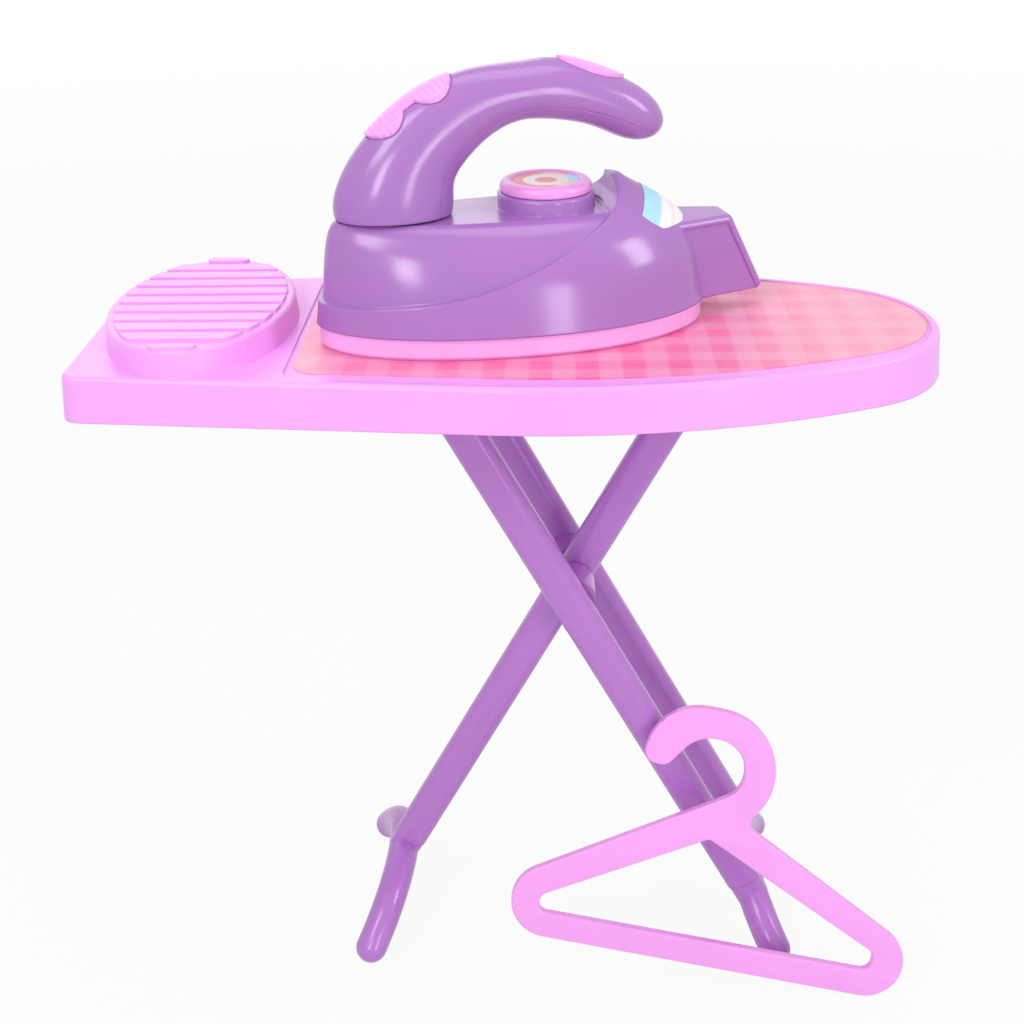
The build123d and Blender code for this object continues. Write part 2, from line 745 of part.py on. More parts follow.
# Handle sections from its foot to its tip: place along the handle's reach and
# rise, half depth and half width of the oval as shares of the grip's, and how
# far the section leans over from level, as a share of a quarter turn.
handle_section_shares = (
    (0.177, 0.00, 2.09, 1.33, 0.00),
    (0.191, 0.22, 2.03, 1.31, 0.09),
    (0.254, 0.45, 1.69, 1.18, 0.33),
    (0.359, 0.65, 1.42, 1.07, 0.58),
    (0.474, 0.765, 1.14, 1.01, 0.79),
    (0.588, 0.805, 1.00, 0.99, 0.98),
    (0.750, 0.768, 1.02, 1.00, 1.09),
    (0.870, 0.660, 0.97, 0.98, 1.23),
    (0.944, 0.567, 0.84, 0.88, 1.31),
    (0.990, 0.505, 0.50, 0.58, 1.36),
    (1.004, 0.487, 0.18, 0.22, 1.38),
)
# Parting line between the handle's outer and inner shells, as shares of the
# handle's reach and rise.
parting_shares = (
    (0.310, -0.20),
    (0.306, 0.08),
    (0.332, 0.30),
    (0.395, 0.50),
    (0.480, 0.63),
    (0.590, 0.70),
    (0.715, 0.69),
    (0.830, 0.62),
    (0.930, 0.52),
    (1.060, 0.38),
)
handle_foot_height = plateau_height + handle_seat_gap
oval_steps = 12


def handle_point(x_share, z_share):
    return (handle_front_x + handle_reach * x_share, handle_foot_height + handle_rise * z_share)


def handle_form(grow, sections, straight=False):
    # Loft through the handle's oval sections, each grown all round, with
    # straight runs between the sections where the form is out of sight.
    with BuildPart() as form:
        for x_share, z_share, depth, width, lean in sections:
            x, z = handle_point(x_share, z_share)
            tilt = lean * pi / 2
            normal = iron_plane.x_dir * sin(tilt) + Vector(0, 0, cos(tilt))
            half_width = grip_half_width * width + grow
            half_depth = grip_half_depth * depth + grow
            with BuildSketch(Plane(origin=iron_point(x, 0, z), x_dir=iron_plane.y_dir, z_dir=normal)):
                with BuildLine():
                    turns = [2 * pi * step / oval_steps for step in range(oval_steps)]
                    Spline([(half_width * sin(turn), -half_depth * cos(turn)) for turn in turns], periodic=True)
                make_face()
        loft(ruled=straight)
    return form.part


def button_plane(x, z, lean):
    # Plane on the handle's back: z axis out of the handle, x axis along it.
    tilt = radians(lean)
    outward = iron_plane.x_dir * sin(tilt) + Vector(0, 0, cos(tilt))
    along_handle = iron_plane.x_dir * cos(tilt) - Vector(0, 0, sin(tilt))
    return Plane(origin=iron_point(x, 0, z), x_dir=along_handle, z_dir=outward)


def front_button_outline(grow):
    with BuildSketch() as outline:
        with Locations((-button_lobe_spacing / 2, 0), (button_lobe_spacing / 2, 0)):
            Circle(button_lobe_radius + grow)
        Rectangle(button_lobe_spacing, button_waist_width + 2 * grow)
    return outline.sketch


def rear_button_outline(grow):
    with BuildSketch() as outline:
        Ellipse(rear_button_length / 2 + grow, rear_button_width / 2 + grow)
    return outline.sketch


def button_prism(plane, outline):
    # The outline run right through the handle's upper wall.
    with BuildPart() as prism:
        with BuildSketch(plane.offset(-button_reach)):
            add(outline)
        extrude(amount=2 * button_reach)
    return prism.part


handle_skin = handle_form(0, handle_section_shares)
handle_inside = handle_form(-handle_wall, handle_section_shares[:-1], True)
proud_skin = handle_form(button_proud, handle_section_shares)
flange_roof = handle_form(-handle_wall - button_gap, handle_section_shares[:-1], True)
flange_floor = handle_form(-handle_wall - button_gap - button_flange, handle_section_shares[:-1], True)
front_plane = button_plane(front_button_x, front_button_z, -front_button_lean)
rear_plane = button_plane(rear_button_x, rear_button_z, rear_button_lean)

with BuildPart() as inner_side:
    with BuildSketch(iron_side):
        with BuildLine():
            parting = Spline([handle_point(x, z) for x, z in parting_shares])
            Polyline(parting @ 1, ((parting @ 1).X, (parting @ 0).Y), parting @ 0)
        make_face()
    extrude(amount=2 * sole_half_width, both=True)

with BuildPart() as handle_outer_shell:
    add(handle_skin)
    add(handle_inside, mode=Mode.SUBTRACT)
    add(inner_side.part, mode=Mode.SUBTRACT)
    add(button_prism(front_plane, front_button_outline(button_gap)), mode=Mode.SUBTRACT)
    add(button_prism(rear_plane, rear_button_outline(button_gap)), mode=Mode.SUBTRACT)
    with BuildSketch(iron_plane.offset(handle_foot_height)):
        with Locations((handle_root_x, 0)):
            Ellipse(handle_foot_depth, handle_foot_width)
    extrude(amount=handle_wall)
    with BuildSketch(iron_plane.offset(handle_foot_height)):
        with Locations((handle_root_x, 0)):
            Ellipse(handle_tongue_length / 2, handle_tongue_width / 2)
    extrude(amount=-handle_tongue_depth)
    add(inner_side.part, mode=Mode.SUBTRACT)
handle_outer_shell.part.label = "handle_outer_shell"
export_step(handle_outer_shell.part, "parts/handle_outer_shell.step")

with BuildPart() as handle_inner_shell:
    add(handle_skin)
    add(handle_inside, mode=Mode.SUBTRACT)
    add(inner_side.part, mode=Mode.INTERSECT)
handle_inner_shell.part.label = "handle_inner_shell"
export_step(handle_inner_shell.part, "parts/handle_inner_shell.step")


def make_button(plane, outline_of):
    # A cap that fills the window in the shell and stands a little proud, with
    # a flange under the shell that keeps it in.
    with BuildPart() as flange:
        add(button_prism(plane, outline_of(button_gap + button_flange)))
        add(flange_roof, mode=Mode.INTERSECT)
    with BuildPart() as button:
        add(button_prism(plane, outline_of(0)))
        add(proud_skin, mode=Mode.INTERSECT)
        add(flange.part)
        add(flange_floor, mode=Mode.SUBTRACT)
    return button.part


front_button = make_button(front_plane, front_button_outline)
front_button.label = "front_button"
export_step(front_button, "parts/front_button.step")
rear_button = make_button(rear_plane, rear_button_outline)
rear_button.label = "rear_button"
export_step(rear_button, "parts/rear_button.step")

dial_floor = dial_boss_top + touch_gap
clip_top = plateau_height - body_wall - touch_gap
with BuildPart() as dial:
    with BuildSketch(iron_plane.offset(dial_floor)):
        with Locations((dial_x, 0)):
            Circle(dial_radius)
    extrude(amount=dial_height)
    fillet(dial.edges().sort_by(Axis.Z)[-1:], dial_edge_round)
    with BuildSketch(iron_plane.offset(dial_floor + dial_height)):
        with Locations((dial_x, 0)):
            Circle(dial_recess_radius)
    extrude(amount=-dial_recess_depth, mode=Mode.SUBTRACT)
    with BuildSketch(iron_plane.offset(dial_floor)):
        with Locations((dial_x, 0)):
            Circle(dial_spindle_radius)
    extrude(amount=clip_top - 2 * dial_clip_thickness - dial_floor)
dial.part.label = "dial"
export_step(dial.part, "parts/dial.step")

with BuildPart() as dial_print:
    with BuildSketch(iron_plane.offset(dial_floor + dial_height - dial_recess_depth)):
        with Locations((dial_x, 0)):
            Circle(dial_recess_radius - touch_gap)
    extrude(amount=dial_print_thickness)
dial_print.part.label = "dial_print"
export_step(dial_print.part, "parts/dial_print.step")

with BuildPart() as dial_clip:
    with BuildSketch(iron_plane.offset(clip_top)):
        with Locations((dial_x, 0)):
            Circle(dial_clip_radius)
            Circle(dial_spindle_radius + press_gap, mode=Mode.SUBTRACT)
    extrude(amount=-dial_clip_thickness)
dial_clip.part.label = "dial_clip"
export_step(dial_clip.part, "parts/dial_clip.step")

# Crescent label on the body's rear slope, behind the dial bay
with BuildPart() as stripe_label:
    with BuildSketch(iron_plane.offset(heel_top_height + press_gap)):
        with Locations((label_x, 0)):
            Ellipse(label_half_length, label_half_width)
        with Locations((dial_x, 0)):
            Circle(label_inner_radius, mode=Mode.SUBTRACT)
    extrude(amount=dome_height)
    add(shell_form(outer_shell_shares, dome_height, -press_gap - label_thickness), mode=Mode.INTERSECT)
    add(shell_form(outer_shell_shares, dome_height, -press_gap), mode=Mode.SUBTRACT)
stripe_label.part.label = "stripe_label"
export_step(stripe_label.part, "parts/stripe_label.step")

with BuildPart() as iron_screws:
    with BuildSketch(iron_plane.offset(screw_head_sink)):
        with Locations(*screw_spots):
            Circle(screw_head_radius)
    extrude(amount=screw_head_height)
    with BuildSketch(iron_plane.offset(screw_head_sink)):
        with Locations(*screw_spots):
            Circle(screw_radius)
    extrude(amount=screw_length)
    with BuildSketch(iron_plane.offset(screw_head_sink)):
        with Locations(*screw_spots):
            Rectangle(2 * screw_radius, screw_cross_width)
            Rectangle(screw_cross_width, 2 * screw_radius)
    extrude(amount=screw_cross_width, mode=Mode.SUBTRACT)
iron_screws.part.label = "iron_screws"
export_step(iron_screws.part, "parts/iron_screws.step")


# Hanger

corner_spacing = hanger_width / 2 - hanger_corner_radius
turn_sine = sin(radians(hanger_turn))
turn_cosine = cos(radians(hanger_turn))
lean_tangent = tan(radians(hanger_lean))
base_height = hanger_corner_radius + corner_spacing * turn_sine - hanger_corner_radius * turn_cosine
lean_plane = Plane(
    origin=(hanger_middle_x, hanger_foot_y, 0),
    x_dir=(1, 0, 0),
    z_dir=(0, -cos(radians(hanger_lean)), sin(radians(hanger_lean))),
)
hanger_plane = Plane(
    origin=lean_plane.from_local_coords(Vector(0, base_height + hanger_thickness / 2 * lean_tangent, 0)),
    x_dir=lean_plane.x_dir * turn_cosine - lean_plane.y_dir * turn_sine,
    z_dir=lean_plane.z_dir,
)
arm_slope = tan(radians(hanger_arm_angle))
arm_rise = corner_spacing * arm_slope + hanger_corner_radius / cos(radians(hanger_arm_angle))
outer_apex = hanger_corner_radius + arm_rise
inner_apex = outer_apex - hanger_arm_band / cos(radians(hanger_arm_angle))


def hanger_triangle(apex, base, corner_radius):
    with BuildSketch() as triangle:
        half_base = (apex - base) / arm_slope
        with BuildLine():
            Polyline((-half_base, base), (half_base, base), (0, apex), close=True)
        make_face()
        fillet(triangle.vertices().group_by(Axis.Y)[0], corner_radius)
    return triangle.sketch


with BuildSketch() as hanger_outline:
    add(hanger_triangle(outer_apex, 0, hanger_corner_radius))
    add(hanger_triangle(inner_apex, hanger_base_band, hanger_inner_radius), mode=Mode.SUBTRACT)
    with BuildLine():
        hook = CenterArc(
            (hanger_hook_offset, hanger_hook_height), hanger_hook_radius, hanger_hook_open_angle, -hanger_hook_sweep
        )
        offset(amount=hanger_hook_band / 2, side=Side.BOTH)
    make_face()

with BuildSketch() as hanger_line_inner:
    add(hanger_outline.sketch)
    offset(amount=-hanger_line_inset - hanger_line_width)

with BuildPart() as hanger:
    with BuildSketch(hanger_plane):
        add(hanger_outline.sketch)
    extrude(amount=hanger_thickness / 2, both=True)
    with BuildSketch(hanger_plane.offset(hanger_thickness / 2)):
        add(hanger_outline.sketch)
        offset(amount=-hanger_line_inset)
        add(hanger_line_inner.sketch, mode=Mode.SUBTRACT)
    extrude(amount=-hanger_line_depth, mode=Mode.SUBTRACT)
hanger.part.label = "hanger"
export_step(hanger.part, "parts/hanger.step")
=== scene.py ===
import math
from collections import namedtuple

import bmesh
import bpy
from mathutils import Matrix, Vector


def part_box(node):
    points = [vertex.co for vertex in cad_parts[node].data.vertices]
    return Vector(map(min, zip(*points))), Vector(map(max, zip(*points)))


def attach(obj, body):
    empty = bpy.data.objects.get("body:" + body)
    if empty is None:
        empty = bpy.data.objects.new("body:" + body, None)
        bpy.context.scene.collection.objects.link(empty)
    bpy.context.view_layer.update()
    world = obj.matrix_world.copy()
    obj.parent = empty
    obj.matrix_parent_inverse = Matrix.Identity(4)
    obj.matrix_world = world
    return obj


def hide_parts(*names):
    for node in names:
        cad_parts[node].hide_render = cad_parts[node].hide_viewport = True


bl_info = {
    "name": "Toy Ironing Board",
    "version": (1, 0, 0),
    "blender": (4, 5, 0),
    "location": "3D View > Sidebar > Toy Board",
    "description": "Dresses the toy ironing board with its iron and hanger",
    "category": "Object",
}

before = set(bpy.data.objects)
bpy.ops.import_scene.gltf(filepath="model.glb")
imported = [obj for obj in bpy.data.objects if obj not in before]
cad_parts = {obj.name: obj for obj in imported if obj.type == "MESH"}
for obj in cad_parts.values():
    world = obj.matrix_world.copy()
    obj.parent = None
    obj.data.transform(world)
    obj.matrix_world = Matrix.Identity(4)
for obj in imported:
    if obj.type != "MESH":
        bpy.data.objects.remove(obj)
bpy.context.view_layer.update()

IRON_NODES = ("iron_body", "handle_outer_shell", "handle_inner_shell")
LEG_NODES = (
    "outer_bar_near",
    "outer_bar_far",
    "centre_bar",
    "centre_foot",
    "outer_foot",
    "pivot_pin",
    "pivot_spacer_near",
    "pivot_spacer_far",
)
STEEL_NODES = ("outer_top_rod", "centre_top_rod", "iron_screws", "dial_clip")

# Roughness, how far it wanders to either side, and the softening of edges in metres.
Finish = namedtuple("Finish", "roughness spread edge_round")

# Material, the property that holds its colour, its finish, and the nodes that it dresses.
MOULDED = (
    ("board pink plastic", "board_pink", Finish(0.34, 0.04, 0.0009), ("board_top",)),
    ("sole pink plastic", "sole_pink", Finish(0.28, 0.04, 0.0008), ("iron_sole",)),
    ("pad pink plastic", "pad_pink", Finish(0.28, 0.04, 0.0008), ("rear_button",)),
    ("iron purple plastic", "purple", Finish(0.19, 0.03, 0.0012), IRON_NODES),
    ("leg purple plastic", "leg_purple", Finish(0.22, 0.03, 0.0009), LEG_NODES),
)
HANGER_FINISH = Finish(0.30, 0.04, 0.0006)
DIAL_FINISH = Finish(0.28, 0.04, 0.0)
CLOUD_DEPTH = 0.94

# The iron stands turned on the board, and the prints of the dial and the label
# and the ribs of the thumb pad are turned with it.
IRON_TURN = math.radians(15)

# Spacing of the pad's ribs, and how much the height counts beside the way along,
# so that the ribs stay square to the handle's slope.
PAD_RIB_PITCH = 0.0034
PAD_RIB_RISE = 0.73

DIAL_LOW, DIAL_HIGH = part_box("dial_print")
DIAL_CENTRE = (
    (DIAL_LOW[0] + DIAL_HIGH[0]) / 2,
    (DIAL_LOW[1] + DIAL_HIGH[1]) / 2,
    (DIAL_LOW[2] + DIAL_HIGH[2]) / 2,
)
DIAL_RADIUS = 0.0202
DIAL_RECESS_RADIUS = 0.0148
DIAL_RECESS_DEPTH = 0.0012
DIAL_SPINDLE_RADIUS = 0.0040
DIAL_RECESS_ROUND = 0.0009
DIAL_BASE_ROUND = 0.0010
DIAL_SIDES = 128
RING_REACH = 0.0001

# The number of the disc's sectors, and where one colour passes into the next:
# distances from the centre in metres, and for the blue a bearing in radians.
DISC_SECTORS = 5.0
DISC_MIDDLE_EDGE = (0.0050, 0.0046)
DISC_RING_EDGE = (0.0098, 0.0102)
DISC_BLUE_EDGE = (0.62, 0.50)

# The label's stripes are arcs about a point near the dial's centre, and its
# blue band is the part nearest to that point.
LABEL_ARC_SHIFT = 0.008
LABEL_ARC_CENTRE = (
    DIAL_CENTRE[0] + LABEL_ARC_SHIFT * math.cos(IRON_TURN),
    DIAL_CENTRE[1] + LABEL_ARC_SHIFT * math.sin(IRON_TURN),
    DIAL_CENTRE[2],
)
LABEL_STRIPE_PITCH = 0.0052
LABEL_BLUE_EDGE = (0.0436, 0.0422)

# Where a deep band of the check has its middle, along and across the board.
CHECK_MIDDLE_ALONG = 0.0316
CHECK_MIDDLE_ACROSS = -0.0532
CHECK_BAND_EDGE = (-0.22, 0.22)

STEEL_COLOUR = (0.72, 0.73, 0.75)
COVER_NOSE_PINK = (0.965, 0.700, 0.785)
DISC_WHITE = (0.96, 0.95, 0.96)
DISC_ROSE = (0.960, 0.600, 0.600)
DISC_PEACH = (0.980, 0.800, 0.780)
DISC_CREAM = (0.975, 0.900, 0.900)
LABEL_WHITE = (0.965, 0.955, 0.965)
LABEL_BLUSH = (0.955, 0.912, 0.915)

# The hanger's outlines on its own plane: corner place and corner radius, in
# millimetres, from the middle of its lower edge.
HANGER_OUTLINE = (
    (-98.8, 0.1, 18.9),
    (-98.8, 29.6, 19.0),
    (0.3, 93.9, 14.0),
    (0.3, 118.3, 16.5),
    (-26.0, 118.3, 17.0),
    (-37.6, 100.6, 5.5),
    (-49.4, 100.6, 6.3),
    (-49.4, 133.0, 25.7),
    (15.4, 133.0, 31.8),
    (15.4, 92.4, 30.0),
    (6.4, 77.6, 5.5),
    (98.8, 30.1, 19.2),
    (98.8, 0.1, 18.0),
)
HANGER_HOLE = (
    (-84.6, 13.2, 4.4),
    (-84.6, 22.0, 4.6),
    (-9.4, 67.1, 3.5),
    (83.2, 23.7, 5.3),
    (83.2, 13.8, 4.9),
)
HANGER_LEAN = math.radians(14.0)
HANGER_TURN = math.radians(11.2)
HANGER_ORIGIN = (0.089, -0.07160, 0.01589)
MILLIMETRE = 0.001
STRAIGHT_HANDLE = 0.00005
MERGE_REACH = 0.00003
SHORTEST_EDGE = 0.00001
SMOOTH_BELOW = math.radians(35)

FLOOR_SIDE = 8.0
FLOOR_GREY = (0.76, 0.76, 0.76, 1.0)
# The share of plain white that the camera sees on the floor, at the nearer and
# the farther of two distances from the toy.
FLOOR_WHITE_REACH = (0.7, 3.2)
FLOOR_WHITE_SHARE = (0.92, 1.0)
# How strong the white surround is as light, and how strong it looks.
WORLD_LIGHT = 0.44
WORLD_SHOWN = 1.0

# Lamp, its place, the point that it faces, its width and height, and its watts.
LAMPS = (
    ("key softbox", (-0.75, -0.95, 1.45), (0.0, 0.0, 0.25), (0.50, 0.75), 8.0),
    ("left window", (-0.40, -1.40, 0.78), (0.0, 0.0, 0.32), (0.22, 0.50), 4.0),
    ("right window", (0.75, -1.30, 0.42), (0.0, 0.0, 0.22), (0.20, 0.60), 3.2),
    ("right softbox", (1.25, -0.41, 0.97), (0.0, 0.0, 0.25), (0.30, 0.60), 5.0),
    ("top softbox", (0.05, 0.10, 1.60), (0.0, 0.0, 0.3), (1.0, 0.6), 4.0),
    ("back softbox", (-0.55, 1.35, 0.95), (0.0, 0.0, 0.25), (1.10, 0.80), 2.6),
)

CAMERA_PLACE = (0.0171, -0.6485, 0.5492)
CAMERA_FORWARD = (-0.0276, 0.8984, -0.4384)
CAMERA_ROLL = math.radians(-1.0)
CAMERA_SENSOR = 36.0
CAMERA_CLIP = 0.01


def linear(colour):
    # Display colour to the scene's linear values.
    return tuple(c / 12.92 if c <= 0.04045 else ((c + 0.055) / 1.055) ** 2.4 for c in colour[:3]) + (1.0,)


class Shader:
    # A material's node tree with short calls for the nodes used here.
    def __init__(self, name):
        self.material = bpy.data.materials.new(name)
        self.material.use_nodes = True
        self.tree = self.material.node_tree
        self.tree.nodes.clear()
        self.output = self.tree.nodes.new("ShaderNodeOutputMaterial")
        self.surface = self.tree.nodes.new("ShaderNodeBsdfPrincipled")
        self.link(self.surface.outputs["BSDF"], self.output.inputs["Surface"])
        coordinates = self.tree.nodes.new("ShaderNodeTexCoord")
        self.place = coordinates.outputs["Object"]

    def link(self, source, target):
        self.tree.links.new(source, target)

    def feed(self, value, socket):
        # Links another node's output, or sets a plain value on the socket.
        if isinstance(value, bpy.types.NodeSocket):
            self.link(value, socket)
        else:
            socket.default_value = value

    def colour(self, value):
        self.feed(value, self.surface.inputs["Base Color"])

    def roughness(self, value):
        self.feed(value, self.surface.inputs["Roughness"])

    def math(self, operation, first, second=0.0, third=0.0, clamp=False):
        node = self.tree.nodes.new("ShaderNodeMath")
        node.operation = operation
        node.use_clamp = clamp
        for value, socket in zip((first, second, third), node.inputs):
            self.feed(value, socket)
        return node.outputs["Value"]

    def axes(self, turn=0.0, centre=(0.0, 0.0, 0.0)):
        # The place along axes turned about Z through the centre.
        mapping = self.tree.nodes.new("ShaderNodeMapping")
        mapping.vector_type = "TEXTURE"
        mapping.inputs["Location"].default_value = centre
        mapping.inputs["Rotation"].default_value = (0.0, 0.0, turn)
        self.link(self.place, mapping.inputs["Vector"])
        split = self.tree.nodes.new("ShaderNodeSeparateXYZ")
        self.link(mapping.outputs["Vector"], split.inputs["Vector"])
        return split.outputs["X"], split.outputs["Y"], split.outputs["Z"]

    def radius(self, along, across):
        # Distance from the upright axis through the centre.
        squares = (self.math("POWER", along, 2.0), self.math("POWER", across, 2.0))
        return self.math("SQRT", self.math("ADD", *squares))

    def noise(self, scale, detail=2.0, roughness=0.5):
        node = self.tree.nodes.new("ShaderNodeTexNoise")
        self.link(self.place, node.inputs["Vector"])
        node.inputs["Scale"].default_value = scale
        node.inputs["Detail"].default_value = detail
        node.inputs["Roughness"].default_value = roughness
        return node.outputs["Fac"]

    def between(self, value, low, high, out_low=0.0, out_high=1.0):
        # A smooth step from out_low at low to out_high at high.
        node = self.tree.nodes.new("ShaderNodeMapRange")
        node.interpolation_type = "SMOOTHSTEP"
        sockets = ("Value", "From Min", "From Max", "To Min", "To Max")
        for socket, number in zip(sockets, (value, low, high, out_low, out_high)):
            self.feed(number, node.inputs[socket])
        return node.outputs["Result"]

    def mix(self, factor, first, second):
        node = self.tree.nodes.new("ShaderNodeMix")
        node.data_type = "RGBA"
        self.feed(factor, node.inputs["Factor"])
        colours = [socket for socket in node.inputs if socket.type == "RGBA"]
        self.feed(first, colours[0])
        self.feed(second, colours[1])
        return [socket for socket in node.outputs if socket.type == "RGBA"][0]

    def bump(self, height, strength, depth, soften=0.0):
        node = self.tree.nodes.new("ShaderNodeBump")
        node.inputs["Strength"].default_value = strength
        node.inputs["Distance"].default_value = depth
        self.link(height, node.inputs["Height"])
        if soften > 0:
            bevel = self.tree.nodes.new("ShaderNodeBevel")
            bevel.samples = 8
            bevel.inputs["Radius"].default_value = soften
            self.link(bevel.outputs["Normal"], node.inputs["Normal"])
        self.link(node.outputs["Normal"], self.surface.inputs["Normal"])


def moulded_plastic(name, colour, finish):
    # Injection-moulded plastic: faint flow clouds in the colour, uneven gloss,
    # a very faint waviness, and softened edges.
    shader = Shader(name)
    base = linear(colour)
    deep = tuple(value * CLOUD_DEPTH for value in base[:3]) + (1.0,)
    clouds = shader.noise(16.0, 2.0)
    shader.colour(shader.mix(shader.between(clouds, 0.20, 0.85), base, deep))
    smoothest = finish.roughness - finish.spread
    dullest = finish.roughness + finish.spread
    shader.roughness(shader.between(shader.noise(35.0, 2.0), 0.15, 0.90, smoothest, dullest))
    shader.surface.inputs["IOR"].default_value = 1.5
    shader.bump(shader.noise(110.0, 2.0), strength=0.10, depth=0.0004, soften=finish.edge_round)
    return shader.material


def dress(names, material):
    for name in names:
        for material_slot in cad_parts[name].material_slots:
            material_slot.material = material


def rounded_loop(spline, corners):
    # Lays a closed Bezier spline round straight-sided corners, each rounded by
    # its own radius with a pair of points.
    places = [Vector((across, up)) * MILLIMETRE for across, up, _ in corners]
    radii = [radius * MILLIMETRE for _, _, radius in corners]
    spline.bezier_points.add(2 * len(corners) - len(spline.bezier_points))
    for number, (place, radius) in enumerate(zip(places, radii)):
        back = (places[number - 1] - place).normalized()
        ahead = (places[(number + 1) % len(places)] - place).normalized()
        turn = math.pi - back.angle(ahead)
        reach = radius * math.tan(turn / 2)
        handle = radius * 4 / 3 * math.tan(turn / 4)
        for offset, side in enumerate((back, ahead)):
            point = spline.bezier_points[2 * number + offset]
            tangent_point = place + side * reach
            on_arc = (tangent_point - side * handle).to_3d()
            on_side = (tangent_point + side * STRAIGHT_HANDLE).to_3d()
            point.handle_left_type = point.handle_right_type = "FREE"
            point.co = tangent_point.to_3d()
            point.handle_left, point.handle_right = (on_arc, on_side) if offset else (on_side, on_arc)
    spline.use_cyclic_u = True


def pick(mesh, kind, wanted):
    # Selects only the faces or edges that the test wants, in edit mode.
    bpy.ops.mesh.select_all(action="DESELECT")
    shape = bmesh.from_edit_mesh(mesh)
    for part in getattr(shape, kind):
        if wanted(part):
            part.select_set(True)
    shape.select_flush_mode()
    bmesh.update_edit_mesh(mesh)


def extrude(rise):
    # Draws the selected faces out along Z, downwards where the rise is negative.
    bpy.ops.mesh.extrude_region_move(TRANSFORM_OT_translate={"value": (0.0, 0.0, rise)})


def on_ring(radius, height):
    # A test for edges on the circle of this radius at this height, about the
    # dial's upright axis.
    axis = Vector((DIAL_CENTRE[0], DIAL_CENTRE[1]))

    def test(edge):
        places = [corner.co for corner in edge.verts]
        round_axis = all(abs((place.xy - axis).length - radius) < RING_REACH for place in places)
        return round_axis and all(abs(place.z - height) < RING_REACH for place in places)

    return test


def hanger_placing():
    # Tips the hanger's plane back, turns it within that plane and moves it to
    # where its lower edge stands.
    facing = Vector((0.0, -math.cos(HANGER_LEAN), math.sin(HANGER_LEAN)))
    level = Vector((1.0, 0.0, 0.0))
    rising = facing.cross(level)
    along = level * math.cos(HANGER_TURN) - rising * math.sin(HANGER_TURN)
    up = facing.cross(along)
    return Matrix.Translation(HANGER_ORIGIN) @ Matrix((along, up, facing)).transposed().to_4x4()


def area_lamp(name, place, aim, size, power):
    data = bpy.data.lights.new(name, "AREA")
    data.shape = "RECTANGLE"
    data.size, data.size_y = size
    data.energy = power
    lamp = bpy.data.objects.new(name, data)
    bpy.context.collection.objects.link(lamp)
    lamp.location = place
    lamp.rotation_euler = (Vector(aim) - Vector(place)).to_track_quat("-Z", "Y").to_euler()
    lamp.visible_camera = False


def lay_floor():
    # A pale matt floor. The camera and reflections see it as near white, and
    # it keeps a share of the object's shadow, less with distance.
    bpy.ops.object.select_all(action="DESELECT")
    bpy.ops.mesh.primitive_plane_add(size=FLOOR_SIDE, location=(0.0, 0.0, 0.0))
    floor = bpy.context.object
    floor.name = "floor"
    shader = Shader("pale floor")
    shader.colour(FLOOR_GREY)
    shader.roughness(0.9)
    shader.surface.inputs["Specular IOR Level"].default_value = 0.0
    glow = shader.tree.nodes.new("ShaderNodeEmission")
    seen = shader.tree.nodes.new("ShaderNodeLightPath")
    blend = shader.tree.nodes.new("ShaderNodeMixShader")
    reflected = shader.math("ADD", seen.outputs["Is Glossy Ray"], seen.outputs["Is Transmission Ray"])
    shown = shader.math("ADD", seen.outputs["Is Camera Ray"], reflected, clamp=True)
    along, across, _ = shader.axes()
    away = shader.radius(along, across)
    share = shader.between(away, *FLOOR_WHITE_REACH, *FLOOR_WHITE_SHARE)
    shader.link(shader.math("MULTIPLY", shown, share), blend.inputs["Fac"])
    shader.link(shader.surface.outputs["BSDF"], blend.inputs[1])
    shader.link(glow.outputs["Emission"], blend.inputs[2])
    shader.link(blend.outputs["Shader"], shader.output.inputs["Surface"])
    floor.data.materials.append(shader.material)


def light_world(scene):
    # A white surround, full to the camera and to reflections, dimmer as light.
    world = bpy.data.worlds.new("studio")
    scene.world = world
    world.use_nodes = True
    tree = world.node_tree
    background = tree.nodes["Background"]
    background.inputs["Color"].default_value = (1.0, 1.0, 1.0, 1.0)
    path = tree.nodes.new("ShaderNodeLightPath")
    seen = tree.nodes.new("ShaderNodeMath")
    seen.operation = "ADD"
    tree.links.new(path.outputs["Is Camera Ray"], seen.inputs[0])
    tree.links.new(path.outputs["Is Glossy Ray"], seen.inputs[1])
    shown = tree.nodes.new("ShaderNodeMath")
    shown.operation = "ADD"
    tree.links.new(seen.outputs["Value"], shown.inputs[0])
    tree.links.new(path.outputs["Is Transmission Ray"], shown.inputs[1])
    level = tree.nodes.new("ShaderNodeMapRange")
    level.inputs["To Min"].default_value = WORLD_LIGHT
    level.inputs["To Max"].default_value = WORLD_SHOWN
    tree.links.new(shown.outputs["Value"], level.inputs["Value"])
    tree.links.new(level.outputs["Result"], background.inputs["Strength"])


def place_camera(scene):
    data = bpy.data.cameras.new("camera")
    data.lens = scene.toy_board_sizes.lens
    data.sensor_width = CAMERA_SENSOR
    data.clip_start = CAMERA_CLIP
    camera = bpy.data.objects.new("camera", data)
    bpy.context.collection.objects.link(camera)
    forward = Vector(CAMERA_FORWARD).normalized()
    level_right = forward.cross(Vector((0.0, 0.0, 1.0))).normalized()
    level_up = level_right.cross(forward)
    right = level_right * math.cos(CAMERA_ROLL) + level_up * math.sin(CAMERA_ROLL)
    up = level_up * math.cos(CAMERA_ROLL) - level_right * math.sin(CAMERA_ROLL)
    turn = Matrix((right, up, -forward)).transposed().to_4x4()
    camera.matrix_world = Matrix.Translation(CAMERA_PLACE) @ turn
    scene.camera = camera


def colour_property(name, description, default):
    return bpy.props.FloatVectorProperty(name=name, description=description, subtype="COLOR", default=default)


def length_property(name, description, default):
    return bpy.props.FloatProperty(name=name, description=description, default=default, unit="LENGTH")


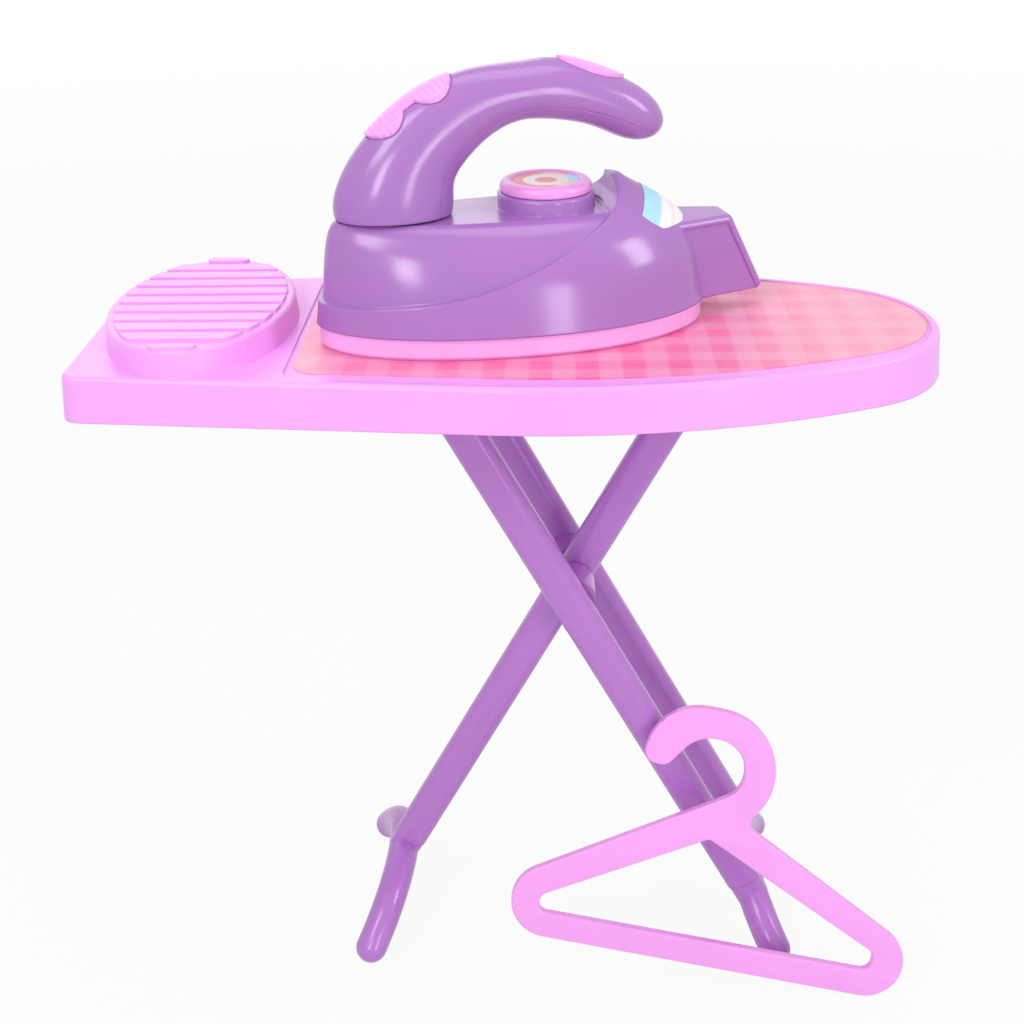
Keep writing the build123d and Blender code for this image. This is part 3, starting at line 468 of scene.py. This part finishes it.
class ToyBoardColours(bpy.types.PropertyGroup):
    board_pink: colour_property("Board pink", "Colour of the board", (0.975, 0.670, 0.980))
    sole_pink: colour_property("Sole pink", "Colour of the iron's sole", (0.970, 0.730, 0.970))
    pad_pink: colour_property("Pad pink", "Colour of the two pads", (0.970, 0.660, 0.960))
    hanger_pink: colour_property("Hanger pink", "Colour of the hanger", (0.970, 0.650, 0.955))
    dial_pink: colour_property("Dial pink", "Colour of the dial", (0.960, 0.635, 0.925))
    purple: colour_property("Purple", "Colour of the iron", (0.680, 0.465, 0.765))
    leg_purple: colour_property("Leg purple", "Colour of the legs", (0.725, 0.480, 0.805))
    check_deep: colour_property("Check, deep", "Darkest squares of the cover", (0.960, 0.420, 0.640))
    check_pale: colour_property("Check, pale", "Palest squares of the cover", (0.965, 0.630, 0.770))
    check_peach: colour_property("Check, peach", "Warm tint at the cover's ends", (0.965, 0.690, 0.760))
    print_blue: colour_property("Print blue", "Light blue of the prints", (0.690, 0.890, 0.960))
    print_salmon: colour_property("Print salmon", "Salmon of the dial's print", (0.930, 0.540, 0.520))


class ToyBoardSizes(bpy.types.PropertyGroup):
    check_period: length_property("Check period", "One pale and one deep square", 0.0196)
    hanger_thickness: length_property("Hanger thickness", "Front face to back face", 0.0050)
    hanger_edge_round: length_property("Hanger edge round", "Radius along the hanger's edges", 0.0008)
    dial_height: length_property("Dial height", "Height of the dial above its boss", 0.0048)
    dial_rim_round: length_property("Dial rim round", "Radius round the dial's upper rim", 0.0030)
    lens: bpy.props.FloatProperty(name="Lens", description="Focal length in millimetres", default=52.73)


class TOYBOARD_OT_plastics(bpy.types.Operator):
    """Give the moulded nodes their pink and purple plastics"""

    bl_idname = "toy_board.plastics"
    bl_label = "Moulded plastics"

    def execute(self, context):
        colours = context.scene.toy_board_colours
        for name, colour, finish, nodes in MOULDED:
            dress(nodes, moulded_plastic(name, getattr(colours, colour), finish))
        return {"FINISHED"}


class TOYBOARD_OT_button_ribs(bpy.types.Operator):
    """Give the thumb pad its fine cross ribs"""

    bl_idname = "toy_board.button_ribs"
    bl_label = "Ribbed pad"

    def execute(self, context):
        colours = context.scene.toy_board_colours
        shader = Shader("ribbed pink plastic")
        shader.colour(linear(colours.pad_pink))
        shader.roughness(shader.between(shader.noise(60.0, 4.0), 0.25, 0.75, out_low=0.28, out_high=0.38))
        along, _, height = shader.axes(IRON_TURN)
        run = shader.math("MULTIPLY_ADD", height, PAD_RIB_RISE, along)
        ridge = shader.math("SINE", shader.math("MULTIPLY", run, 2 * math.pi / PAD_RIB_PITCH))
        shader.bump(ridge, strength=0.30, depth=0.0004, soften=0.0006)
        dress(("front_button",), shader.material)
        return {"FINISHED"}


class TOYBOARD_OT_hanger(bpy.types.Operator):
    """Make the clothes hanger from its two rounded outlines"""

    bl_idname = "toy_board.hanger"
    bl_label = "Clothes hanger"

    def execute(self, context):
        sizes = context.scene.toy_board_sizes
        colours = context.scene.toy_board_colours
        bpy.ops.object.select_all(action="DESELECT")
        bpy.ops.curve.primitive_bezier_circle_add(radius=0.01, location=(0.0, 0.0, 0.0))
        piece = context.object
        piece.name = "clothes_hanger"
        outline = piece.data
        outline.dimensions = "2D"
        outline.fill_mode = "BOTH"
        outline.resolution_u = 16
        outline.bevel_depth = sizes.hanger_edge_round
        outline.bevel_resolution = 3
        outline.offset = -sizes.hanger_edge_round
        outline.extrude = sizes.hanger_thickness / 2 - sizes.hanger_edge_round
        rounded_loop(outline.splines[0], HANGER_OUTLINE)
        rounded_loop(outline.splines.new("BEZIER"), HANGER_HOLE)
        bpy.ops.object.convert(target="MESH")
        piece = context.object
        bpy.ops.object.mode_set(mode="EDIT")
        bpy.ops.mesh.select_all(action="SELECT")
        bpy.ops.mesh.remove_doubles(threshold=MERGE_REACH)
        bpy.ops.mesh.dissolve_degenerate(threshold=SHORTEST_EDGE)
        bpy.ops.mesh.normals_make_consistent(inside=False)
        bpy.ops.object.mode_set(mode="OBJECT")
        piece.matrix_world = hanger_placing()
        bpy.ops.object.transform_apply(location=True, rotation=True, scale=True)
        bpy.ops.object.shade_smooth_by_angle(angle=SMOOTH_BELOW)
        piece.data.materials.clear()
        plastic = moulded_plastic("hanger pink plastic", colours.hanger_pink, HANGER_FINISH)
        piece.data.materials.append(plastic)
        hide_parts("hanger")
        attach(piece, "hanger")
        return {"FINISHED"}


class TOYBOARD_OT_dial(bpy.types.Operator):
    """Make the round dial with its fat rounded rim, recess and spindle"""

    bl_idname = "toy_board.dial"
    bl_label = "Dial"

    def execute(self, context):
        sizes = context.scene.toy_board_sizes
        colours = context.scene.toy_board_colours
        recess_floor = DIAL_LOW[2]
        underside = recess_floor + DIAL_RECESS_DEPTH - sizes.dial_height
        top = underside + sizes.dial_height
        spindle_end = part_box("dial")[0][2]
        bpy.ops.object.select_all(action="DESELECT")
        bpy.ops.mesh.primitive_cylinder_add(
            vertices=DIAL_SIDES,
            radius=DIAL_RADIUS,
            depth=sizes.dial_height,
            location=(DIAL_CENTRE[0], DIAL_CENTRE[1], underside + sizes.dial_height / 2),
        )
        piece = context.object
        piece.name = "dial_knob"
        bpy.ops.object.transform_apply(location=True, rotation=True, scale=True)
        mesh = piece.data
        bpy.ops.object.mode_set(mode="EDIT")
        bpy.ops.mesh.select_mode(type="FACE")
        pick(mesh, "faces", lambda face: face.normal.z > 0.9)
        bpy.ops.mesh.inset(thickness=DIAL_RADIUS - DIAL_RECESS_RADIUS)
        extrude(-DIAL_RECESS_DEPTH)
        pick(mesh, "faces", lambda face: face.normal.z < -0.9)
        bpy.ops.mesh.inset(thickness=DIAL_RADIUS - DIAL_SPINDLE_RADIUS)
        extrude(spindle_end - underside)
        bpy.ops.mesh.select_mode(type="EDGE")
        rims = (
            (DIAL_RADIUS, top, sizes.dial_rim_round, 10),
            (DIAL_RECESS_RADIUS, top, DIAL_RECESS_ROUND, 6),
            (DIAL_RADIUS, underside, DIAL_BASE_ROUND, 6),
        )
        for radius, height, rounding, segments in rims:
            pick(mesh, "edges", on_ring(radius, height))
            bpy.ops.mesh.bevel(offset=rounding, segments=segments)
        bpy.ops.mesh.select_all(action="SELECT")
        bpy.ops.mesh.normals_make_consistent(inside=False)
        bpy.ops.object.mode_set(mode="OBJECT")
        bpy.ops.object.shade_smooth_by_angle(angle=SMOOTH_BELOW)
        mesh.materials.clear()
        plastic = moulded_plastic("dial pink plastic", colours.dial_pink, DIAL_FINISH)
        mesh.materials.append(plastic)
        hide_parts("dial")
        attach(piece, "dial_knob")
        return {"FINISHED"}


class TOYBOARD_OT_steel(bpy.types.Operator):
    """Give rods, screws and clip their drawn steel"""

    bl_idname = "toy_board.steel"
    bl_label = "Steel"

    def execute(self, context):
        shader = Shader("drawn steel")
        shader.colour(linear(STEEL_COLOUR))
        shader.surface.inputs["Metallic"].default_value = 1.0
        shader.roughness(shader.between(shader.noise(900.0, 4.0), 0.2, 0.8, out_low=0.24, out_high=0.42))
        shader.bump(shader.noise(3000.0), strength=0.05, depth=0.0001)
        dress(STEEL_NODES, shader.material)
        return {"FINISHED"}


class TOYBOARD_OT_cover_print(bpy.types.Operator):
    """Print the soft check on the board's cover"""

    bl_idname = "toy_board.cover_print"
    bl_label = "Cover print"

    def execute(self, context):
        colours = context.scene.toy_board_colours
        shader = Shader("checked cover")
        along, across, _ = shader.axes()
        turns = 2 * math.pi / context.scene.toy_board_sizes.check_period
        bands = []
        for value, middle in ((along, CHECK_MIDDLE_ALONG), (across, CHECK_MIDDLE_ACROSS)):
            wave = shader.math("COSINE", shader.math("MULTIPLY_ADD", value, turns, -turns * middle))
            bands.append(shader.between(wave, *CHECK_BAND_EDGE))
        crossed = shader.math("MULTIPLY", *bands)
        single = shader.math("ADD", *bands)
        deepness = shader.math("MULTIPLY_ADD", single, 0.45, shader.math("MULTIPLY", crossed, 0.10))
        # The print is fainter towards the nose and the square end, and uneven.
        nose_fade = shader.between(along, 0.06, 0.15, out_low=1.0, out_high=0.42)
        square_fade = shader.between(along, -0.075, 0.02, out_low=0.68, out_high=1.0)
        fade = shader.math("MULTIPLY", nose_fade, square_fade)
        cloud = shader.between(shader.noise(26.0, 3.0), 0.3, 0.7, out_low=0.80, out_high=1.0)
        deepness = shader.math("MULTIPLY", shader.math("MULTIPLY", deepness, fade), cloud)
        towards_nose = shader.between(along, 0.07, 0.16)
        pale = shader.mix(towards_nose, linear(colours.check_pale), linear(COVER_NOSE_PINK))
        check = shader.mix(deepness, pale, linear(colours.check_deep))
        # Both ends carry patches of the warm tint.
        square_tint = shader.between(along, -0.070, -0.092)
        nose_tint = shader.between(along, 0.09, 0.16, out_low=0.0, out_high=0.4)
        ends = shader.math("ADD", square_tint, nose_tint, clamp=True)
        patches = shader.between(shader.noise(17.0, 2.0), 0.35, 0.65, out_low=0.2, out_high=0.9)
        shader.colour(shader.mix(shader.math("MULTIPLY", ends, patches), check, linear(colours.check_peach)))
        shader.roughness(shader.between(shader.noise(120.0, 3.0), 0.3, 0.7, out_low=0.34, out_high=0.46))
        shader.bump(shader.noise(700.0, 3.0), strength=0.05, depth=0.0001)
        dress(("board_cover",), shader.material)
        return {"FINISHED"}


class TOYBOARD_OT_dial_print(bpy.types.Operator):
    """Print the dial's disc with plain coloured sectors"""

    bl_idname = "toy_board.dial_print"
    bl_label = "Dial print"

    def execute(self, context):
        colours = context.scene.toy_board_colours
        shader = Shader("dial print")
        along, across, _ = shader.axes(IRON_TURN, DIAL_CENTRE)
        radius = shader.radius(along, across)
        bearing = shader.math("ARCTAN2", across, along)
        salmon = linear(colours.print_salmon)
        blue = linear(colours.print_blue)
        sectors = shader.math("SINE", shader.math("MULTIPLY", bearing, DISC_SECTORS))
        ring = shader.mix(shader.between(sectors, -0.2, 0.2), salmon, linear(DISC_ROSE))
        ring = shader.mix(shader.between(along, -0.001, 0.003), ring, linear(DISC_PEACH))
        ring = shader.mix(shader.between(shader.math("ABSOLUTE", bearing), *DISC_BLUE_EDGE), ring, blue)
        inner = shader.mix(shader.between(along, -0.002, 0.004), linear(DISC_WHITE), linear(DISC_CREAM))
        face = shader.mix(shader.between(radius, *DISC_RING_EDGE), inner, ring)
        shader.colour(shader.mix(shader.between(radius, *DISC_MIDDLE_EDGE), face, salmon))
        shader.roughness(0.35)
        shader.bump(shader.noise(900.0), strength=0.04, depth=0.0001)
        dress(("dial_print",), shader.material)
        return {"FINISHED"}


class TOYBOARD_OT_stripe_label(bpy.types.Operator):
    """Print the curved stripes on the label behind the dial"""

    bl_idname = "toy_board.stripe_label"
    bl_label = "Stripe label"

    def execute(self, context):
        colours = context.scene.toy_board_colours
        shader = Shader("stripe label")
        along, across, _ = shader.axes(IRON_TURN, LABEL_ARC_CENTRE)
        radius = shader.radius(along, across)
        stripes = shader.math("SINE", shader.math("MULTIPLY", radius, 2 * math.pi / LABEL_STRIPE_PITCH))
        paper = shader.mix(shader.between(stripes, 0.1, 0.9), linear(LABEL_WHITE), linear(LABEL_BLUSH))
        shader.colour(shader.mix(shader.between(radius, *LABEL_BLUE_EDGE), paper, linear(colours.print_blue)))
        shader.roughness(0.32)
        shader.bump(shader.noise(900.0), strength=0.04, depth=0.0001)
        dress(("stripe_label",), shader.material)
        return {"FINISHED"}


class TOYBOARD_OT_stage(bpy.types.Operator):
    """Set the floor, the soft studio lamps and the camera"""

    bl_idname = "toy_board.stage"
    bl_label = "Stage"

    def execute(self, context):
        lay_floor()
        light_world(context.scene)
        for lamp in LAMPS:
            area_lamp(*lamp)
        place_camera(context.scene)
        context.scene.view_settings.view_transform = "Standard"
        return {"FINISHED"}


MAKING_ORDER = (
    TOYBOARD_OT_plastics,
    TOYBOARD_OT_button_ribs,
    TOYBOARD_OT_hanger,
    TOYBOARD_OT_dial,
    TOYBOARD_OT_steel,
    TOYBOARD_OT_cover_print,
    TOYBOARD_OT_dial_print,
    TOYBOARD_OT_stripe_label,
    TOYBOARD_OT_stage,
)


class TOYBOARD_PT_panel(bpy.types.Panel):
    """Lists the steps that dress the toy"""

    bl_idname = "TOYBOARD_PT_panel"
    bl_label = "Toy Board"
    bl_space_type = "VIEW_3D"
    bl_region_type = "UI"
    bl_category = "Toy Board"

    def draw(self, context):
        for step in MAKING_ORDER:
            self.layout.operator(step.bl_idname)


CLASSES = (ToyBoardColours, ToyBoardSizes) + MAKING_ORDER + (TOYBOARD_PT_panel,)


def register():
    for entry in CLASSES:
        bpy.utils.register_class(entry)
    bpy.types.Scene.toy_board_colours = bpy.props.PointerProperty(type=ToyBoardColours)
    bpy.types.Scene.toy_board_sizes = bpy.props.PointerProperty(type=ToyBoardSizes)


def unregister():
    del bpy.types.Scene.toy_board_sizes
    del bpy.types.Scene.toy_board_colours
    for entry in reversed(CLASSES):
        bpy.utils.unregister_class(entry)


def main():
    register()
    bpy.ops.toy_board.plastics()
    bpy.ops.toy_board.button_ribs()
    bpy.ops.toy_board.hanger()
    bpy.ops.toy_board.dial()
    bpy.ops.toy_board.steel()
    bpy.ops.toy_board.cover_print()
    bpy.ops.toy_board.dial_print()
    bpy.ops.toy_board.stripe_label()
    bpy.ops.toy_board.stage()


if __name__ == "__main__":
    main()
